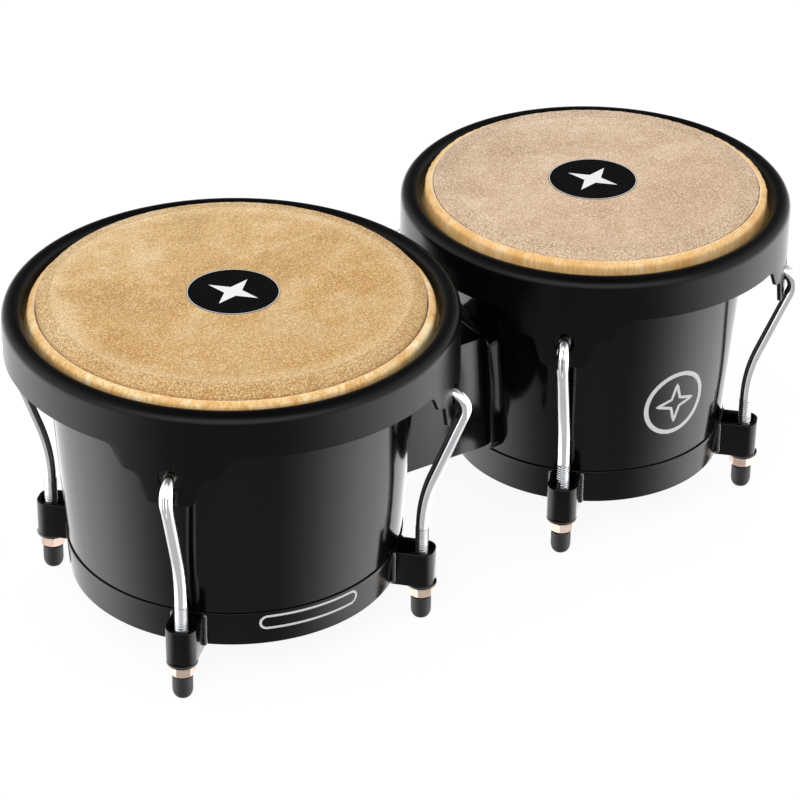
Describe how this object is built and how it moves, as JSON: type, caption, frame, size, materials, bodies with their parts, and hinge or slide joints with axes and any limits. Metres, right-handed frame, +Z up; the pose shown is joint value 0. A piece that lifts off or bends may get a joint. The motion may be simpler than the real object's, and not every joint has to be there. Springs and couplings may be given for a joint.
{
  "type": "bongo drums",
  "caption": "Pair of joined hand drums, one larger, with natural skin heads, curled black steel rims and hooked chrome tuning lugs.",
  "frame": {"origin": "on the surface the drums stand on, under the middle of the overall box", "axes": "+Z up, +X from the large drum to the small drum, +Y across the pair"},
  "size_m": [0.4042, 0.2094, 0.162],
  "materials": {
    "shell": "high gloss black moulded shell",
    "block": "gloss black",
    "large_skin": "rawhide, golden tan, mottled",
    "small_skin": "rawhide, light beige, fine grain",
    "hoop": "plain rolled steel",
    "rim": "satin black",
    "ring": "satin black",
    "washer": "black oxide",
    "lug": "polished chrome",
    "nut": "bright nickel plate",
    "tip": "matte black rubber",
    "bolt": "zinc plated steel",
    "insert": "plain brass",
    "sticker": "printed black, plain"
  },
  "bodies": {
    "drums": {"centre_block": "block", "large_shell": "shell", "large_head_skin": "large_skin", "large_bottom_ring": "ring", "large_lug_washers": "washer", "large_head_sticker": "sticker", "large_block_bolts": "bolt", "large_bolt_washers": "bolt", "large_block_inserts": "insert", "small_shell": "shell", "small_head_skin": "small_skin", "small_bottom_ring": "ring", "small_lug_washers": "washer", "small_head_sticker": "sticker", "small_block_bolts": "bolt", "small_bolt_washers": "bolt", "small_block_inserts": "insert"},
    "large_tuning": {"large_rim": "rim", "large_head_lap": "large_skin", "large_flesh_hoop": "hoop", "large_tuning_lug_1": "lug", "large_tuning_lug_2": "lug", "large_tuning_lug_3": "lug", "large_tuning_lug_4": "lug", "large_rubber_tip_1": "tip", "large_rubber_tip_2": "tip", "large_rubber_tip_3": "tip", "large_rubber_tip_4": "tip"},
    "small_tuning": {"small_rim": "rim", "small_head_lap": "small_skin", "small_flesh_hoop": "hoop", "small_tuning_lug_1": "lug", "small_tuning_lug_2": "lug", "small_tuning_lug_3": "lug", "small_tuning_lug_4": "lug", "small_rubber_tip_1": "tip", "small_rubber_tip_2": "tip", "small_rubber_tip_3": "tip", "small_rubber_tip_4": "tip"},
    "large_tuning_nut_1": {"large_nut_1": "nut"},
    "large_tuning_nut_2": {"large_nut_2": "nut"},
    "large_tuning_nut_3": {"large_nut_3": "nut"},
    "large_tuning_nut_4": {"large_nut_4": "nut"},
    "small_tuning_nut_1": {"small_nut_1": "nut"},
    "small_tuning_nut_2": {"small_nut_2": "nut"},
    "small_tuning_nut_3": {"small_nut_3": "nut"},
    "small_tuning_nut_4": {"small_nut_4": "nut"}
  },
  "joints": [
    {"name": "large_head_tension", "type": "slide", "parent": "drums", "child": "large_tuning", "axis": [0, 0, 1], "range_m": [-0.004, 0.0008]},
    {"name": "small_head_tension", "type": "slide", "parent": "drums", "child": "small_tuning", "axis": [0, 0, 1], "range_m": [-0.004, 0.0008]},
    {"name": "large_nut_turn_1", "type": "hinge", "parent": "drums", "child": "large_tuning_nut_1", "pos_m": [-0.03124, 0.06165, 0.01562], "axis": [0, 0, 1], "range_deg": [-230, 1140]},
    {"name": "large_nut_turn_2", "type": "hinge", "parent": "drums", "child": "large_tuning_nut_2", "pos_m": [-0.159, 0.06611, 0.01562], "axis": [0, 0, 1], "range_deg": [-230, 1140]},
    {"name": "large_nut_turn_3", "type": "hinge", "parent": "drums", "child": "large_tuning_nut_3", "pos_m": [-0.16346, -0.06165, 0.01562], "axis": [0, 0, 1], "range_deg": [-230, 1140]},
    {"name": "large_nut_turn_4", "type": "hinge", "parent": "drums", "child": "large_tuning_nut_4", "pos_m": [-0.0357, -0.06611, 0.01562], "axis": [0, 0, 1], "range_deg": [-230, 1140]},
    {"name": "small_nut_turn_1", "type": "hinge", "parent": "drums", "child": "small_tuning_nut_1", "pos_m": [0.16348, 0.05611, 0.01562], "axis": [0, 0, 1], "range_deg": [-230, 1140]},
    {"name": "small_nut_turn_2", "type": "hinge", "parent": "drums", "child": "small_tuning_nut_2", "pos_m": [0.05204, 0.05533, 0.01562], "axis": [0, 0, 1], "range_deg": [-230, 1140]},
    {"name": "small_nut_turn_3", "type": "hinge", "parent": "drums", "child": "small_tuning_nut_3", "pos_m": [0.05282, -0.05611, 0.01562], "axis": [0, 0, 1], "range_deg": [-230, 1140]},
    {"name": "small_nut_turn_4", "type": "hinge", "parent": "drums", "child": "small_tuning_nut_4", "pos_m": [0.16426, -0.05533, 0.01562], "axis": [0, 0, 1], "range_deg": [-230, 1140]}
  ],
  "couplings": [
    {"joint": "large_nut_turn_1", "follows": "large_head_tension", "rad_per_m": -4947.4},
    {"joint": "large_nut_turn_2", "follows": "large_head_tension", "rad_per_m": -4947.4},
    {"joint": "large_nut_turn_3", "follows": "large_head_tension", "rad_per_m": -4947.4},
    {"joint": "large_nut_turn_4", "follows": "large_head_tension", "rad_per_m": -4947.4},
    {"joint": "small_nut_turn_1", "follows": "small_head_tension", "rad_per_m": -4947.4},
    {"joint": "small_nut_turn_2", "follows": "small_head_tension", "rad_per_m": -4947.4},
    {"joint": "small_nut_turn_3", "follows": "small_head_tension", "rad_per_m": -4947.4},
    {"joint": "small_nut_turn_4", "follows": "small_head_tension", "rad_per_m": -4947.4}
  ]
}
